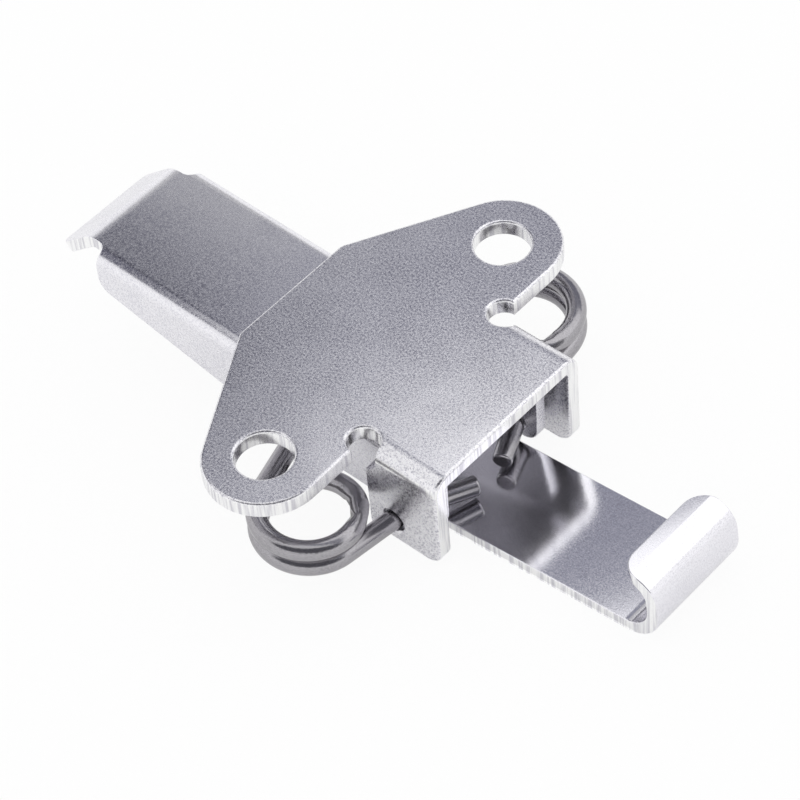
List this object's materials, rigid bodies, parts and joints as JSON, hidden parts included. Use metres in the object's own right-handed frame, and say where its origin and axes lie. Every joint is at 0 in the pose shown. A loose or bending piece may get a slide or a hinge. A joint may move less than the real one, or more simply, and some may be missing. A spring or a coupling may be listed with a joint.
{
  "type": "spring-loaded over-centre latch",
  "caption": "Spring-loaded draw latch: folded steel mounting plate, channel lever with finger lip, torsion springs as hinge pins and a hooked claw that pulls a strike closed.",
  "frame": {"origin": "midway between the two mounting holes, on the mounting face", "axes": "+X towards the hook, +Y to the left, +Z out of the mounting face"},
  "size_m": [0.0712, 0.0432, 0.0131],
  "materials": {
    "plate_steel": "satin zinc-plated sheet",
    "lever_steel": "satin zinc-plated sheet",
    "claw_steel": "bright rolled sheet",
    "spring_steel": "bright drawn wire"
  },
  "bodies": {
    "base": {"mounting_plate": "plate_steel"},
    "lever": {"lever": "lever_steel", "right_torsion_spring": "spring_steel", "left_torsion_spring": "spring_steel"},
    "claw": {"claw": "claw_steel"}
  },
  "joints": [
    {"name": "lever_hinge", "type": "hinge", "parent": "base", "child": "lever", "pos_m": [0.00855, 0, -0.0086], "axis": [0, -1, 0], "range_deg": [0, 100]},
    {"name": "claw_hinge", "type": "hinge", "parent": "lever", "child": "claw", "pos_m": [-0.00366, 0, -0.00449], "axis": [0, -1, 0], "range_deg": [-100, 0]}
  ],
  "couplings": [
    {"joint": "claw_hinge", "follows": "lever_hinge", "ratio": -1}
  ]
}
